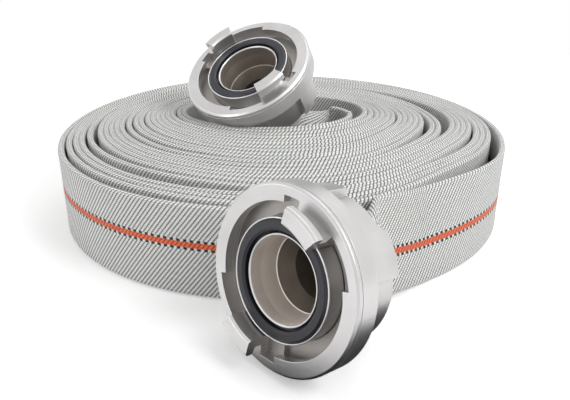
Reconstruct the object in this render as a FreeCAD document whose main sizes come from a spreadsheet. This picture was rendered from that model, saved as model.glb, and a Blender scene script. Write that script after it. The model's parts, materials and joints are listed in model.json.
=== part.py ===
import FreeCAD
import Part
import Sketcher
import math
import os

# Rolled layflat fire hose with a lugged coupling on each end, in millimetres.
#
# The hose lies wound on the floor (z = 0) as a flat band standing on its edge.
# Its outer end leaves the roll towards the front coupling, which lies on the
# floor.  Its inner end bends up out of the roll's hollow to the centre
# coupling.  Each coupling has a lug ring that turns on a fixed hose tail.
# In a coupling's own frame +Z points out of its mouth and z = 0 is the front
# face of the lug ring's flange.

doc = FreeCAD.newDocument("RolledFireHose")
sheet = doc.addObject("Spreadsheet::Sheet", "Sizes")

SIZES = [
    # hose
    ("hose_bore", 19.0, "inside radius of the round hose"),
    ("hose_flat", 61.0, "width of the flattened hose"),
    ("jacket_wall", 0.95, "woven jacket"),
    ("lining_wall", 0.75, "rubber lining"),
    ("lining_slit", 0.2, "space left inside the flattened lining"),
    # roll, measured to the middle of the band
    ("roll_turns", 21, "whole turns in the roll"),
    ("roll_left", 165.0, "outermost turn, left of the roll's centre"),
    ("roll_right", 165.0, "outermost turn, right"),
    ("roll_front", 163.5, "outermost turn, front, if it went on"),
    ("roll_back", 158.0, "outermost turn, back"),
    ("roll_shift", 25.0, "how far left the outermost front stretch lies"),
    ("hollow_left", 75.8, "innermost turn, left"),
    ("hollow_right", 62.8, "innermost turn, right"),
    ("hollow_front", 37.0, "innermost turn, front"),
    ("hollow_back", 67.0, "innermost turn, back"),
    ("hollow_left_rise", 22.0, "how far back the innermost left bend lies"),
    ("hollow_right_rise", 19.0, "how far back the innermost right bend lies"),
    ("hollow_shift", 5.0, "how far left the innermost front and back stretches lie"),
    ("leave_angle", 54.0, "turn from the last right-hand bend to where the outer end leaves"),
    # inner end of the hose
    ("inner_bend_right", 54.0, "right-hand bend of the inner end"),
    ("inner_bend_rise", 6.0, "how far back that bend lies"),
    ("inner_bend_radius", 20.0, "radius of that bend"),
    ("inner_bend_angle", 72.5, "turn of that bend"),
    ("elbow_radius", 24.0, "bend of the round inner end up to the coupling"),
    ("flare_corner", 8.0, "half the arc of the round hose that a folded edge becomes"),
    # where the couplings' mouths are, from the roll's centre on the floor
    ("front_across", 0.0, "front coupling, to the right"),
    ("front_ahead", 219.0, "front coupling, towards the front"),
    ("front_height", 51.0, "front coupling, up"),
    ("centre_across", -26.0, "centre coupling, to the right"),
    ("centre_ahead", 2.0, "centre coupling, towards the front"),
    ("centre_height", 107.0, "centre coupling, up"),
    ("front_turn", 45.2, "front coupling's mouth, turned left from the front"),
    ("front_tilt", 10.4, "front coupling's mouth above the horizontal"),
    ("front_lug_turn", 65.5, "where the front coupling's first lug stands"),
    ("centre_turn", 34.5, "centre coupling's mouth, turned left from the front"),
    ("centre_tilt", 55.7, "centre coupling's mouth above the horizontal"),
    ("centre_lug_turn", -27.0, "where the centre coupling's first lug stands"),
    # lug ring
    ("ring_radius", 49.0, "outside of the lug ring"),
    ("ring_depth", 15.5, "length of its full diameter"),
    ("ring_chamfer", 1.2, "its front and rear edges"),
    ("flange_depth", 5.0, "thickness of that flange"),
    ("ring_wall", 5.5, "wall of the ring around the pocket behind the flange"),
    ("pocket_depth", 11.0, "floor of the pocket"),
    ("skirt_wall", 5.5, "wall of the rear skirt"),
    ("hub_depth", 38.0, "rear end of the skirt"),
    ("skirt_inner", 35.0, "inside of the skirt"),
    ("web_back", 23.0, "rear face of the bearing web"),
    ("line_start", 3.0, "fine groove around the ring, from the face"),
    ("line_width", 0.6, "width of that groove"),
    ("line_depth", 0.5, "depth of that groove"),
    ("entry_sweep", 34.5, "arc without flange on one side of a lug, where a mating lug enters"),
    ("entry_reach", 50.0, "far end of that arc, from the lug's middle"),
    ("notch_sweep", 13.5, "arc without flange on the lug's other side"),
    ("notch_reach", 30.0, "far end of that arc, from the lug's middle"),
    ("lug_sweep", 31.0, "arc of one lug"),
    ("lug_gap", 1.0, "tail's head to the inside of the lugs"),
    ("neck_wall", 5.3, "thickness of a lug's neck"),
    ("neck_clearance", 1.7, "a lug's neck to the flange that it passes"),
    ("lip_reach", 4.2, "how far a lug's hook stands out of its neck"),
    ("lug_height", 10.0, "front of the lugs"),
    ("lug_hook", 5.2, "start of the hook above the face"),
    ("lug_slope", 0.8, "slope of the hook's underside"),
    ("lug_chamfer", 1.2, "edges of a lug's front"),
    ("pad_depth", 7.0, "top of the stop pad beside a lug"),
    ("boss_height", 4.3, "spanner bosses on the skirt"),
    ("boss_sweep", 30.0, "arc of one boss"),
    ("boss_turn", 35.0, "boss to lug, middle to middle"),
    ("pad_root", 0.5, "how far lugs, pads and bosses are sunk into the ring"),
    # hose tail
    ("head_wall", 1.0, "wall of the tail's head around the seal groove"),
    ("head_gap", 0.4, "head to lug ring, radially"),
    ("head_drop", 0.2, "head's front below the flange face"),
    ("head_seat", 13.0, "lug ring's shoulder behind the head"),
    ("bearing_radius", 27.24, "journal that the lug ring turns on"),
    ("bearing_play", 0.06, "radial running clearance on the journal"),
    ("end_play", 0.3, "axial clearance of the lug ring, each side"),
    ("journal_end", 28.0, "rear end of the journal"),
    ("mouth_radius", 22.5, "waterway at the mouth"),
    ("mouth_straight", 9.0, "end of the mouth's straight bore"),
    ("mouth_rim", 1.1, "wall between mouth and seal groove"),
    ("mouth_drop", 1.6, "that wall's front below the flange face"),
    ("mouth_chamfer", 0.5, "edge of the mouth"),
    ("throat_drop", 1.2, "mouth to throat, radially"),
    ("throat_depth", 19.5, "where the step begins"),
    ("step_drop", 0.5, "radial drop of the step"),
    ("step_run", 0.4, "length of the step"),
    ("shank_wall", 2.15, "wall of the shank between its ribs"),
    ("shank_bore_start", 29.0, "where the shank's straight bore begins"),
    ("shank_end", 58.0, "rear end of the shank"),
    ("shank_clearance", 0.05, "rib crest to lining, radially"),
    ("rib_height", 0.6, "ribs on the shank"),
    ("rib_count", 4, "ribs on the shank"),
    ("rib_start", 32.0, "first rib"),
    ("rib_pitch", 6.4, "rib to rib"),
    ("rib_ramp", 4.0, "length of a rib's slope"),
    # seal
    ("groove_width", 7.4, "width of the seal groove"),
    ("groove_depth", 8.6, "floor of the seal groove"),
    ("rim_chamfer", 0.3, "edges of the head's rim"),
    ("seal_play", 0.2, "seal to groove walls"),
    ("seal_stand", 0.6, "seal's face above the flange face"),
    ("lip_step", 1.6, "mouth's wall to the inner edge of the seal's face"),
    ("seal_edge", 1.2, "slope at the edges of the seal's face"),
    ("seal_lip_depth", 2.2, "root of the lip"),
    ("hollow_step", 1.8, "depth of the hollow behind the lip"),
    ("seal_hollow_depth", 4.2, "deepest point of that hollow"),
    ("seal_heel_depth", 5.6, "front of the seal's heel"),
    # retaining ring
    ("clip_sink", 1.24, "depth of the ring groove in the journal"),
    ("clip_width", 1.9, "thickness of the retaining ring"),
    ("clip_stand", 1.66, "how far the retaining ring stands out of the journal"),
    ("clip_play", 0.1, "retaining ring in its groove"),
    ("clip_sweep", 340.0, "arc of the split retaining ring"),
    # hose binding
    ("hose_start", 29.5, "where the hose begins on the shank"),
    ("wire_size", 1.6, "binding wire diameter"),
    ("wire_fit", 0.05, "wire to jacket, and cuff to wire"),
    ("wire_start", 33.5, "first turn of wire"),
    ("wire_crown", 0.45, "rounding of each turn's outside"),
    ("wire_turns", 12, "turns of wire"),
    ("cuff_wall", 1.8, "binding cuff"),
    ("cuff_start", 31.0, "front end of the cuff"),
    ("cuff_end", 55.0, "rear end of the cuff"),
    ("cuff_chamfer", 0.4, "cuff's edges"),
]

for row, (alias, amount, note) in enumerate(SIZES, start=1):
    sheet.set(f"A{row}", note)
    sheet.set(f"B{row}", str(amount))
    sheet.setAlias(f"B{row}", alias)
doc.recompute()


def size(alias):
    return float(sheet.get(alias))


def value(sum_text):
    """Add up named sizes, as in 'ring_radius - ring_chamfer'."""
    total, sign = 0.0, 1.0
    for word in sum_text.split():
        if word in ("+", "-"):
            sign = 1.0 if word == "+" else -1.0
        elif word[0].isdigit():
            total += sign * float(word)
        else:
            total += sign * size(word)
    return total


def bound(sum_text):
    """The same sum as an expression on the sheet."""
    words = []
    for word in sum_text.split():
        named = word not in ("+", "-") and not word[0].isdigit()
        words.append(f"Sizes.{word}" if named else word)
    return " ".join(words)


# radii that follow from the ones inside or outside them
MOUTH_RIM = "mouth_radius + mouth_rim"
GROOVE = MOUTH_RIM + " + groove_width"
HEAD = GROOVE + " + head_wall"
LUG = HEAD + " + lug_gap"
NECK = LUG + " + neck_wall"
LIP = NECK + " + lip_reach"
FLANGE = NECK + " + neck_clearance"
POCKET = "ring_radius - ring_wall"
HUB = "skirt_inner + skirt_wall"
BOSS = HUB + " + boss_height"
CLIP = "bearing_radius - clip_sink"
CLIP_OUTSIDE = "bearing_radius + clip_stand"
SEAL_LIP = MOUTH_RIM + " + lip_step"
SEAL_HOLLOW = SEAL_LIP + " + hollow_step"
THROAT = "mouth_radius - throat_drop"
SHANK_CREST = "hose_bore - shank_clearance"
SHANK = SHANK_CREST + " - rib_height"
SHANK_BORE = SHANK + " - shank_wall"


def turned_body(name, corners, sweep="360"):
    """Body turned about Z from a closed outline of (radius, height) corners."""
    body = doc.addObject("PartDesign::Body", name)
    sketch = body.newObject("Sketcher::SketchObject", name + "Outline")
    planes = [part for part in body.Origin.OriginFeatures if part.Role == "XZ_Plane"]
    sketch.AttachmentSupport = (planes[0], [""])
    sketch.MapMode = "FlatFace"
    points = [FreeCAD.Vector(value(radius), value(height), 0) for radius, height in corners]
    for start, end in zip(points, points[1:] + points[:1]):
        sketch.addGeometry(Part.LineSegment(start, end), False)
    for index in range(len(points)):
        follower = (index + 1) % len(points)
        sketch.addConstraint(Sketcher.Constraint("Coincident", index, 2, follower, 1))
    for index, (radius, height) in enumerate(corners):
        across = sketch.addConstraint(
            Sketcher.Constraint("DistanceX", -1, 1, index, 1, points[index].x))
        sketch.setExpression(f"Constraints[{across}]", bound(radius))
        along = sketch.addConstraint(
            Sketcher.Constraint("DistanceY", -1, 1, index, 1, points[index].y))
        sketch.setExpression(f"Constraints[{along}]", bound(height))
    turning = body.newObject("PartDesign::Revolution", name + "Turning")
    turning.Profile = sketch
    turning.ReferenceAxis = (sketch, ["V_Axis"])
    turning.Angle = value(sweep)
    turning.setExpression("Angle", bound(sweep))
    sketch.Visibility = False
    return body


def aimed(thing, degrees):
    """Turn a piece about Z."""
    thing.Placement = FreeCAD.Placement(
        FreeCAD.Vector(), FreeCAD.Rotation(FreeCAD.Vector(0, 0, 1), degrees))
    return thing


# --- coupling pieces, each in the coupling's own frame ---------------------

def lug_ring(side, lug_turn):
    ring = turned_body(side + "RingTurned", [
        (FLANGE, "0"),
        ("ring_radius - ring_chamfer", "0"),
        ("ring_radius", "0 - ring_chamfer"),
        ("ring_radius", "0 - line_start"),
        ("ring_radius - line_depth", "0 - line_start"),
        ("ring_radius - line_depth", "0 - line_start - line_width"),
        ("ring_radius", "0 - line_start - line_width"),
        ("ring_radius", "ring_chamfer - ring_depth"),
        ("ring_radius - ring_chamfer", "0 - ring_depth"),
        (HUB, "0 - ring_depth"),
        (HUB, "0 - hub_depth"),
        ("skirt_inner", "0 - hub_depth"),
        ("skirt_inner", "0 - web_back"),
        ("bearing_radius + bearing_play", "0 - web_back"),
        ("bearing_radius + bearing_play", "0 - head_seat"),
        (HEAD + " + head_gap", "0 - head_seat"),
        (HEAD + " + head_gap", "0 - pocket_depth"),
        (POCKET, "0 - pocket_depth"),
        (POCKET, "0 - flange_depth"),
        (FLANGE, "0 - flange_depth"),
    ])
    openings, additions = [], []
    for index in range(2):
        about = lug_turn + 180 * index
        for gap, start in (("notch", size("notch_reach") - size("notch_sweep")),
                           ("entry", -size("entry_reach"))):
            opening = doc.addObject("Part::Cylinder", f"{side}{gap.capitalize()}{index}")
            opening.setExpression("Radius", bound(POCKET))
            opening.setExpression("Height", bound("flange_depth + lug_height"))
            opening.setExpression("Angle", bound(gap + "_sweep"))
            opening.Placement = FreeCAD.Placement(
                FreeCAD.Vector(0, 0, -size("flange_depth")),
                FreeCAD.Rotation(FreeCAD.Vector(0, 0, 1), about + start))
            openings.append(opening)
        lug = turned_body(f"{side}Lug{index}", [
            (LUG, "0 - pocket_depth - pad_root"),
            (LUG, "lug_height - lug_chamfer"),
            (LUG + " + lug_chamfer", "lug_height"),
            (LIP + " - lug_chamfer", "lug_height"),
            (LIP, "lug_height - lug_chamfer"),
            (LIP, "lug_hook"),
            (NECK, "lug_hook - lug_slope"),
            (NECK, "0"),
            (POCKET + " + pad_root", "0"),
            (POCKET + " + pad_root", "0 - pocket_depth - pad_root"),
        ], "lug_sweep")
        additions.append(aimed(lug, about - size("lug_sweep") / 2))
        pad = turned_body(f"{side}StopPad{index}", [
            (HEAD + " + head_gap", "0 - pocket_depth - pad_root"),
            (HEAD + " + head_gap", "0 - pad_depth"),
            (POCKET + " + pad_root", "0 - pad_depth"),
            (POCKET + " + pad_root", "0 - pocket_depth - pad_root"),
        ], "notch_reach")
        additions.append(aimed(pad, about))
        for number, offset in enumerate((-size("boss_turn"), size("boss_turn"))):
            boss = turned_body(f"{side}Boss{index}{number}", [
                (HUB + " - pad_root", "pad_root - ring_depth"),
                (BOSS, "pad_root - ring_depth"),
                (BOSS, "ring_chamfer - hub_depth"),
                (BOSS + " - ring_chamfer", "0 - hub_depth"),
                (HUB + " - pad_root", "0 - hub_depth"),
            ], "boss_sweep")
            additions.append(aimed(boss, about + offset - size("boss_sweep") / 2))
    opened = doc.addObject("Part::MultiFuse", side + "Openings")
    opened.Shapes = openings
    cut = doc.addObject("Part::Cut", side + "RingOpened")
    cut.Base = ring
    cut.Tool = opened
    whole = doc.addObject("Part::MultiFuse", side + "LugRing")
    whole.Shapes = [cut] + additions
    whole.Refine = True
    return whole


def hose_tail(side):
    corners = [
        (HEAD + " - rim_chamfer", "0 - head_drop"),
        (HEAD, "0 - head_drop - rim_chamfer"),
        (HEAD, "end_play - head_seat"),
        ("bearing_radius", "end_play - head_seat"),
        ("bearing_radius", "clip_play - web_back - end_play"),
        (CLIP, "clip_play - web_back - end_play"),
        (CLIP, "0 - web_back - end_play - clip_width - clip_play"),
        ("bearing_radius", "0 - web_back - end_play - clip_width - clip_play"),
        ("bearing_radius", "0 - journal_end"),
        (SHANK, "0 - journal_end"),
    ]
    for index in range(int(size("rib_count"))):
        steps = " - rib_pitch" * index
        corners.append((SHANK, "0 - rib_start" + steps))
        corners.append((SHANK_CREST, "0 - rib_start" + steps))
        corners.append((SHANK, "0 - rib_start - rib_ramp" + steps))
    corners += [
        (SHANK, "0 - shank_end"),
        (SHANK_BORE, "0 - shank_end"),
        (SHANK_BORE, "0 - shank_bore_start"),
        (THROAT + " - step_drop", "0 - throat_depth - step_run"),
        (THROAT, "0 - throat_depth"),
        ("mouth_radius", "0 - mouth_straight"),
        ("mouth_radius", "0 - mouth_drop - mouth_chamfer"),
        ("mouth_radius + mouth_chamfer", "0 - mouth_drop"),
        (MOUTH_RIM, "0 - mouth_drop"),
        (MOUTH_RIM, "0 - groove_depth"),
        (GROOVE, "0 - groove_depth"),
        (GROOVE, "0 - head_drop - rim_chamfer"),
        (GROOVE + " + rim_chamfer", "0 - head_drop"),
    ]
    return turned_body(side + "HoseTail", corners)


def seal(side):
    return turned_body(side + "Seal", [
        (GROOVE + " - seal_play", "0 - groove_depth"),
        (GROOVE + " - seal_play", "seal_stand - seal_edge"),
        (GROOVE + " - seal_play - seal_edge", "seal_stand"),
        (SEAL_LIP + " + seal_edge", "seal_stand"),
        (SEAL_LIP, "seal_stand - seal_edge"),
        (SEAL_LIP, "0 - seal_lip_depth"),
        (SEAL_HOLLOW, "0 - seal_hollow_depth"),
        (MOUTH_RIM + " + seal_play", "0 - seal_heel_depth"),
        (MOUTH_RIM + " + seal_play", "0 - groove_depth"),
    ])


def retaining_ring(side):
    return turned_body(side + "RetainingRing", [
        (CLIP + " + clip_play", "0 - web_back - end_play"),
        (CLIP_OUTSIDE, "0 - web_back - end_play"),
        (CLIP_OUTSIDE, "0 - web_back - end_play - clip_width"),
        (CLIP + " + clip_play", "0 - web_back - end_play - clip_width"),
    ], "clip_sweep")


def binding_wire(side):
    """The close turns of wire, as one ring whose outside shows each turn."""
    inner = "hose_bore + lining_wall + jacket_wall + wire_fit"
    corners = []
    for index in range(int(size("wire_turns"))):
        depth = "0 - wire_start" + " - wire_size" * index
        corners += [
            (inner + " + wire_size - wire_crown", depth),
            (inner + " + wire_size", depth + " - wire_crown"),
            (inner + " + wire_size", depth + " + wire_crown - wire_size"),
        ]
    last = "0 - wire_start" + " - wire_size" * int(size("wire_turns"))
    corners += [(inner + " + wire_size - wire_crown", last), (inner, last),
                (inner, "0 - wire_start")]
    return turned_body(side + "BindingWire", corners)


def binding_cuff(side):
    inner = "hose_bore + lining_wall + jacket_wall + wire_fit + wire_size + wire_fit"
    return turned_body(side + "BindingCuff", [
        (inner, "0 - cuff_start"),
        (inner + " + cuff_wall - cuff_chamfer", "0 - cuff_start"),
        (inner + " + cuff_wall", "0 - cuff_start - cuff_chamfer"),
        (inner + " + cuff_wall", "cuff_chamfer - cuff_end"),
        (inner + " + cuff_wall - cuff_chamfer", "0 - cuff_end"),
        (inner, "0 - cuff_end"),
    ])


# --- the couplings in the roll's frame --------------------------------------

def coupling_placement(side):
    where = FreeCAD.Vector(size(side + "_across"), -size(side + "_ahead"), size(side + "_height"))
    turn = FreeCAD.Rotation(FreeCAD.Vector(0, 0, 1), -size(side + "_turn"))
    tilt = FreeCAD.Rotation(FreeCAD.Vector(1, 0, 0), 90 - size(side + "_tilt"))
    return FreeCAD.Placement(where, turn * tilt)


def coupling_point(side, depth):
    return coupling_placement(side).multVec(FreeCAD.Vector(0, 0, -depth))


def coupling_back(side):
    return coupling_placement(side).Rotation.multVec(FreeCAD.Vector(0, 0, -1))


# --- the hose ----------------------------------------------------------------

def quarter(start, end, turn):
    """Two arcs that turn a quarter clockwise from start to end.

    The path leaves start at right angles to the direction turn (in degrees)
    and arrives at end at right angles to the next direction.  Each arc is
    (middle, radius, first direction, last direction).
    """
    out = FreeCAD.Vector(math.cos(math.radians(turn)), math.sin(math.radians(turn)), 0)
    onward = FreeCAD.Vector(math.cos(math.radians(turn - 90)), math.sin(math.radians(turn - 90)), 0)
    reach = (start - end).dot(out)
    drop = (end - start).dot(onward)
    core = end - onward * drop
    if reach >= drop:
        first = drop * drop / reach
        last = reach * (reach + drop) / (2 * drop)
    else:
        last = reach * reach / drop
        first = drop * (reach + drop) / (2 * reach)
    first_middle = core + out * (reach - first)
    last_middle = core + onward * (drop - last)
    apart = first_middle - last_middle
    if apart.Length > 1e-6:
        if last < first:
            apart = apart * -1
        meet = math.degrees(math.atan2(apart.y, apart.x))
        meet = turn - (turn - meet) % 360
    else:
        meet = turn - 45
    return [(first_middle, first, turn, meet), (last_middle, last, meet, turn - 90)]


def winding():
    """The band's middle line in plan, from the inner end to the outer end, as arcs."""
    turns = int(size("roll_turns"))

    def between(inner, outer, share):
        return size(inner) + (size(outer) - size(inner)) * share

    def station(number):
        """Right, front, left and back points of the winding, counted from the first bend."""
        loop, face = divmod(number, 4)
        outward = number / (4.0 * turns)
        shift = -between("hollow_shift", "roll_shift", outward)
        if number == 0:
            return FreeCAD.Vector(size("inner_bend_right"), size("inner_bend_rise"), 0)
        if face == 0:
            share = (loop - 1) / (turns - 1.0)
            rise = size("hollow_right_rise") * (1 - outward)
            return FreeCAD.Vector(between("hollow_right", "roll_right", share), rise, 0)
        if face == 1:
            share = loop / float(turns)
            return FreeCAD.Vector(shift, -between("hollow_front", "roll_front", share), 0)
        if face == 2:
            share = loop / (turns - 1.0)
            rise = size("hollow_left_rise") * (1 - outward)
            return FreeCAD.Vector(-between("hollow_left", "roll_left", share), rise, 0)
        share = loop / (turns - 1.0)
        return FreeCAD.Vector(-size("hollow_shift") * (1 - outward),
                              between("hollow_back", "roll_back", share), 0)

    bend = size("inner_bend_radius")
    first = station(0)
    arcs = [(first - FreeCAD.Vector(bend, 0, 0), bend, size("inner_bend_angle"), 0.0)]
    for number in range(4 * turns + 1):
        turn = -90.0 * number
        arcs += quarter(station(number), station(number + 1), turn)
    middle, radius, begin, stop = arcs.pop()
    leave = -360.0 * turns - size("leave_angle")
    arcs.append((middle, radius, begin, leave))
    return arcs


def on_arc(arc, direction, offset=0.0):
    middle, radius = arc[0], arc[1] + offset
    around = math.radians(direction)
    return middle + FreeCAD.Vector(radius * math.cos(around), radius * math.sin(around), 0)


def rim(arc, offset):
    begin, stop = arc[2], arc[3]
    return Part.Arc(on_arc(arc, begin, offset), on_arc(arc, (begin + stop) / 2, offset),
                    on_arc(arc, stop, offset)).toShape()


def wound_band(arcs, half_thick, half_wide):
    """The flat hose on its edge, as one solid."""
    outer = [rim(arc, half_thick) for arc in arcs]
    inner = [rim(arc, -half_thick) for arc in arcs]
    begin = Part.makeLine(on_arc(arcs[0], arcs[0][2], -half_thick),
                          on_arc(arcs[0], arcs[0][2], half_thick))
    stop = Part.makeLine(on_arc(arcs[-1], arcs[-1][3], -half_thick),
                         on_arc(arcs[-1], arcs[-1][3], half_thick))
    outline = Part.Wire(Part.__sortEdges__([begin] + outer + [stop] + inner))
    floor = Part.Face(outline)
    floor.translate(FreeCAD.Vector(0, 0, size("hose_flat") / 2 - half_wide))
    return floor.extrude(FreeCAD.Vector(0, 0, 2 * half_wide))


def hose_section(at, along, up, half_thick, half_wide, radius, roundness):
    """Cross-section of the hose between flat (0) and round (1)."""
    side = along.cross(up)
    side.normalize()
    rise = side.cross(along)
    rise.normalize()
    corner = math.radians(size("flare_corner"))

    def mix(flat, round_value):
        return flat + (round_value - flat) * roundness

    def spot(across, upward):
        return at + side * across + rise * upward

    thick_corner = mix(half_thick, radius * math.sin(corner))
    wide_corner = mix(half_wide, radius * math.cos(corner))
    thick_middle = mix(half_thick, radius)
    wide_middle = mix(half_wide, radius)
    corners = [spot(thick_corner, wide_corner), spot(-thick_corner, wide_corner),
               spot(-thick_corner, -wide_corner), spot(thick_corner, -wide_corner)]
    middles = [spot(0, wide_middle), spot(-thick_middle, 0),
               spot(0, -wide_middle), spot(thick_middle, 0)]
    edges = []
    for index in range(4):
        start, end = corners[index], corners[(index + 1) % 4]
        if roundness == 0:
            edges.append(Part.makeLine(start, end))
        else:
            edges.append(Part.Arc(start, middles[index], end).toShape())
    return Part.Wire(edges)


def flare(start, start_along, end, end_along, half_thick, half_wide, radius):
    """Hose that goes from flat at start to round at end along a smooth curve."""
    reach = (end - start).Length
    up = FreeCAD.Vector(0, 0, 1)
    sections = []
    steps = 6
    for step in range(steps + 1):
        share = step / float(steps)
        cubed = share ** 3
        squared = share ** 2
        at = (start * (2 * cubed - 3 * squared + 1)
              + start_along * (reach * (cubed - 2 * squared + share))
              + end * (3 * squared - 2 * cubed)
              + end_along * (reach * (cubed - squared)))
        along = start_along * (1 - share) + end_along * share
        roundness = 3 * squared - 2 * cubed
        sections.append(hose_section(at, along, up, half_thick, half_wide, radius, roundness))
    return Part.makeLoft(sections, True, False)


def sleeve(side, radius):
    length = size("shank_end") - size("hose_start")
    return Part.makeCylinder(radius, length, coupling_point(side, size("hose_start")),
                             coupling_back(side))


def elbow(radius, onward):
    """Round hose bent from the back of the centre coupling to the direction onward."""
    back = coupling_back("centre")
    start = coupling_point("centre", size("shank_end"))
    axis = back.cross(onward)
    axis.normalize()
    towards = axis.cross(back)
    middle = start + towards * size("elbow_radius")
    turn = math.degrees(back.getAngle(onward))
    disc = Part.Face(Part.Wire(Part.makeCircle(radius, start, back)))
    bend = disc.revolve(middle, axis, turn)
    end = middle + FreeCAD.Rotation(axis, turn).multVec(start - middle)
    return bend, end


def hose_solid(arcs, inset):
    """The whole hose from tail to tail, its surface moved inwards by inset."""
    full = 2 * (size("jacket_wall") + size("lining_wall")) + size("lining_slit")
    half_thick = full / 2 - inset
    half_wide = size("hose_flat") / 2 - inset
    radius = size("hose_bore") + size("lining_wall") + size("jacket_wall") - inset
    lift = FreeCAD.Vector(0, 0, size("hose_flat") / 2)
    first, last = arcs[0], arcs[-1]
    inner_along = FreeCAD.Rotation(FreeCAD.Vector(0, 0, 1), first[2] - 90).multVec(
        FreeCAD.Vector(1, 0, 0))
    outer_along = FreeCAD.Rotation(FreeCAD.Vector(0, 0, 1), last[3] - 90).multVec(
        FreeCAD.Vector(1, 0, 0))
    bend, bend_end = elbow(radius, inner_along)
    pieces = [
        flare(on_arc(last, last[3]) + lift, outer_along,
              coupling_point("front", size("shank_end")), coupling_back("front") * -1,
              half_thick, half_wide, radius),
        sleeve("front", radius),
        flare(on_arc(first, first[2]) + lift, inner_along * -1,
              bend_end, inner_along * -1, half_thick, half_wide, radius),
        bend,
        sleeve("centre", radius),
    ]
    return wound_band(arcs, half_thick, half_wide).multiFuse(pieces)


def coded_piece(name, shape):
    piece = doc.addObject("Part::Feature", name)
    piece.Shape = shape
    return piece


# --- build -------------------------------------------------------------------

pieces = []
for side in ("front", "centre"):
    tag = side.capitalize()
    made = [
        (lug_ring(tag, size(side + "_lug_turn")), "lug_ring"),
        (hose_tail(tag), "hose_tail"),
        (seal(tag), "seal"),
        (retaining_ring(tag), "retaining_ring"),
        (binding_wire(tag), "binding_wire"),
        (binding_cuff(tag), "binding_cuff"),
    ]
    for thing, name in made:
        thing.Label = f"{side}_{name}"
        thing.Placement = coupling_placement(side)
        pieces.append(thing)

arcs = winding()
solids = [hose_solid(arcs, inset) for inset in (
    0.0, size("jacket_wall"), size("jacket_wall") + size("lining_wall"))]
for name, outside, inside in (("hose_jacket", 0, 1), ("hose_lining", 1, 2)):
    piece = coded_piece(name, solids[outside].cut(solids[inside]))
    piece.Label = name
    pieces.append(piece)

doc.recompute()
for thing in doc.Objects:
    if any(word in ("Invalid", "Error") for word in thing.State):
        raise RuntimeError(f"{thing.Name}: {thing.State}")

# The frame's origin is the middle of the floor under the whole object.
box = FreeCAD.BoundBox()
for piece in pieces:
    box.add(piece.Shape.BoundBox)
shift = FreeCAD.Placement(
    FreeCAD.Vector(-box.Center.x, -box.Center.y, -box.ZMin), FreeCAD.Rotation())
os.makedirs("parts", exist_ok=True)
for piece in pieces:
    piece.Placement = shift * piece.Placement
doc.recompute()
for piece in pieces:
    if piece.Shape.isNull() or not piece.Shape.isValid() or len(piece.Shape.Solids) != 1:
        raise RuntimeError(f"{piece.Label}: {len(piece.Shape.Solids)} solids, "
                           f"valid {piece.Shape.isValid()}")
    piece.Shape.exportStep(f"parts/{piece.Label}.step")
    print(f"{piece.Label:24s} volume {piece.Shape.Volume / 1000:9.2f} cm3")

print("shift", shift.Base, "size", box.XLength, box.YLength, box.ZLength)
for side in ("front", "centre"):
    print(side, "mouth", shift.multVec(coupling_point(side, 0)), "out", coupling_back(side) * -1)
length = sum(math.radians(arc[2] - arc[3]) * arc[1] for arc in arcs)
print("flat hose in the roll", round(length), "mm")
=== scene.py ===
# %% [markdown]
# # A rolled fire hose
# A layflat fire hose is a woven polyester tube with a rubber lining.  Empty, it folds flat, and it
# is stored rolled up on its edge.  Each end is bound onto an aluminium coupling.  This lesson
# dresses a finished CAD model: the metal parts keep their CAD shape and get real finishes, and
# the hose, which CAD holds as stiff bands, is made again as cloth.

# %% Load the fixed frame
import json
import math

import bpy
import numpy as np
from mathutils import Matrix, Vector


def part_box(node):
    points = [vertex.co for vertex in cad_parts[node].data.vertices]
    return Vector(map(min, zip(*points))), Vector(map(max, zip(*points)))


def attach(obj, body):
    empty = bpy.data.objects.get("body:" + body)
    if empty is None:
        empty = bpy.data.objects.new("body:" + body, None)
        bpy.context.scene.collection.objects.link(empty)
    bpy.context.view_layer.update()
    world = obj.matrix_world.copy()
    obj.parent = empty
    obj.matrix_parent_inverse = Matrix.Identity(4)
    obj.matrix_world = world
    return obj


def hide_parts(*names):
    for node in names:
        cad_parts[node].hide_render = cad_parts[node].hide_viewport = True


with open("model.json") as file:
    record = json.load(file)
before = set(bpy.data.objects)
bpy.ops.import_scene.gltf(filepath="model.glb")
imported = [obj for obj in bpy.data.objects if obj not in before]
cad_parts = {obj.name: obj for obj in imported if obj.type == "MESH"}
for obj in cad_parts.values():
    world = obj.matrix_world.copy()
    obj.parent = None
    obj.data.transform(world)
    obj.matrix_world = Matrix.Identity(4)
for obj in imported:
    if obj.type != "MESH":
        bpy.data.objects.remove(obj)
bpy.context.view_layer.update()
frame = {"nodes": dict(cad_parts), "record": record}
MM = 0.001

# %% [markdown]
# ## Where things are
# The CAD model was built around the middle of the roll and then moved, so that the middle of
# its floor is the origin.  The record's mount points say where each coupling's mouth is and
# which way it looks.  Everything else is measured from those.

# %% Places of the two couplings and of the roll
mounts = {mount["name"]: mount for mount in frame["record"]["mounts"]}
WATERWAY_MIDDLE = 5.5 * MM   # the record's point lies this far behind the mouth
MOUTH_TO_ROLL = 219 * MM   # from the front mouth back to the middle of the roll


def coupling(side):
    """The mouth's middle and the direction it looks in."""
    mount = mounts[side + "_waterway"]
    out = Vector(mount["axis"]).normalized()
    return Vector(mount["pos_m"]) + out * WATERWAY_MIDDLE, out


front_mouth, front_out = coupling("front")
centre_mouth, centre_out = coupling("centre")
jacket_low, jacket_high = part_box("hose_jacket")
roll_middle = Vector(((jacket_low.x + jacket_high.x) / 2, front_mouth.y + MOUTH_TO_ROLL, 0))
print("mouths", front_mouth, centre_mouth, "roll", roll_middle)

# %% [markdown]
# ## Camera and light
# The camera stands in front of the roll, a little above it, and looks down at 24 degrees.
# A large soft lamp from the right, a weaker one above and behind, a narrow one from the left and
# a low one from the front left light the roll, over an even grey world.  The floor and the world
# turn white only for the camera and for mirror-like surfaces.

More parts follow.
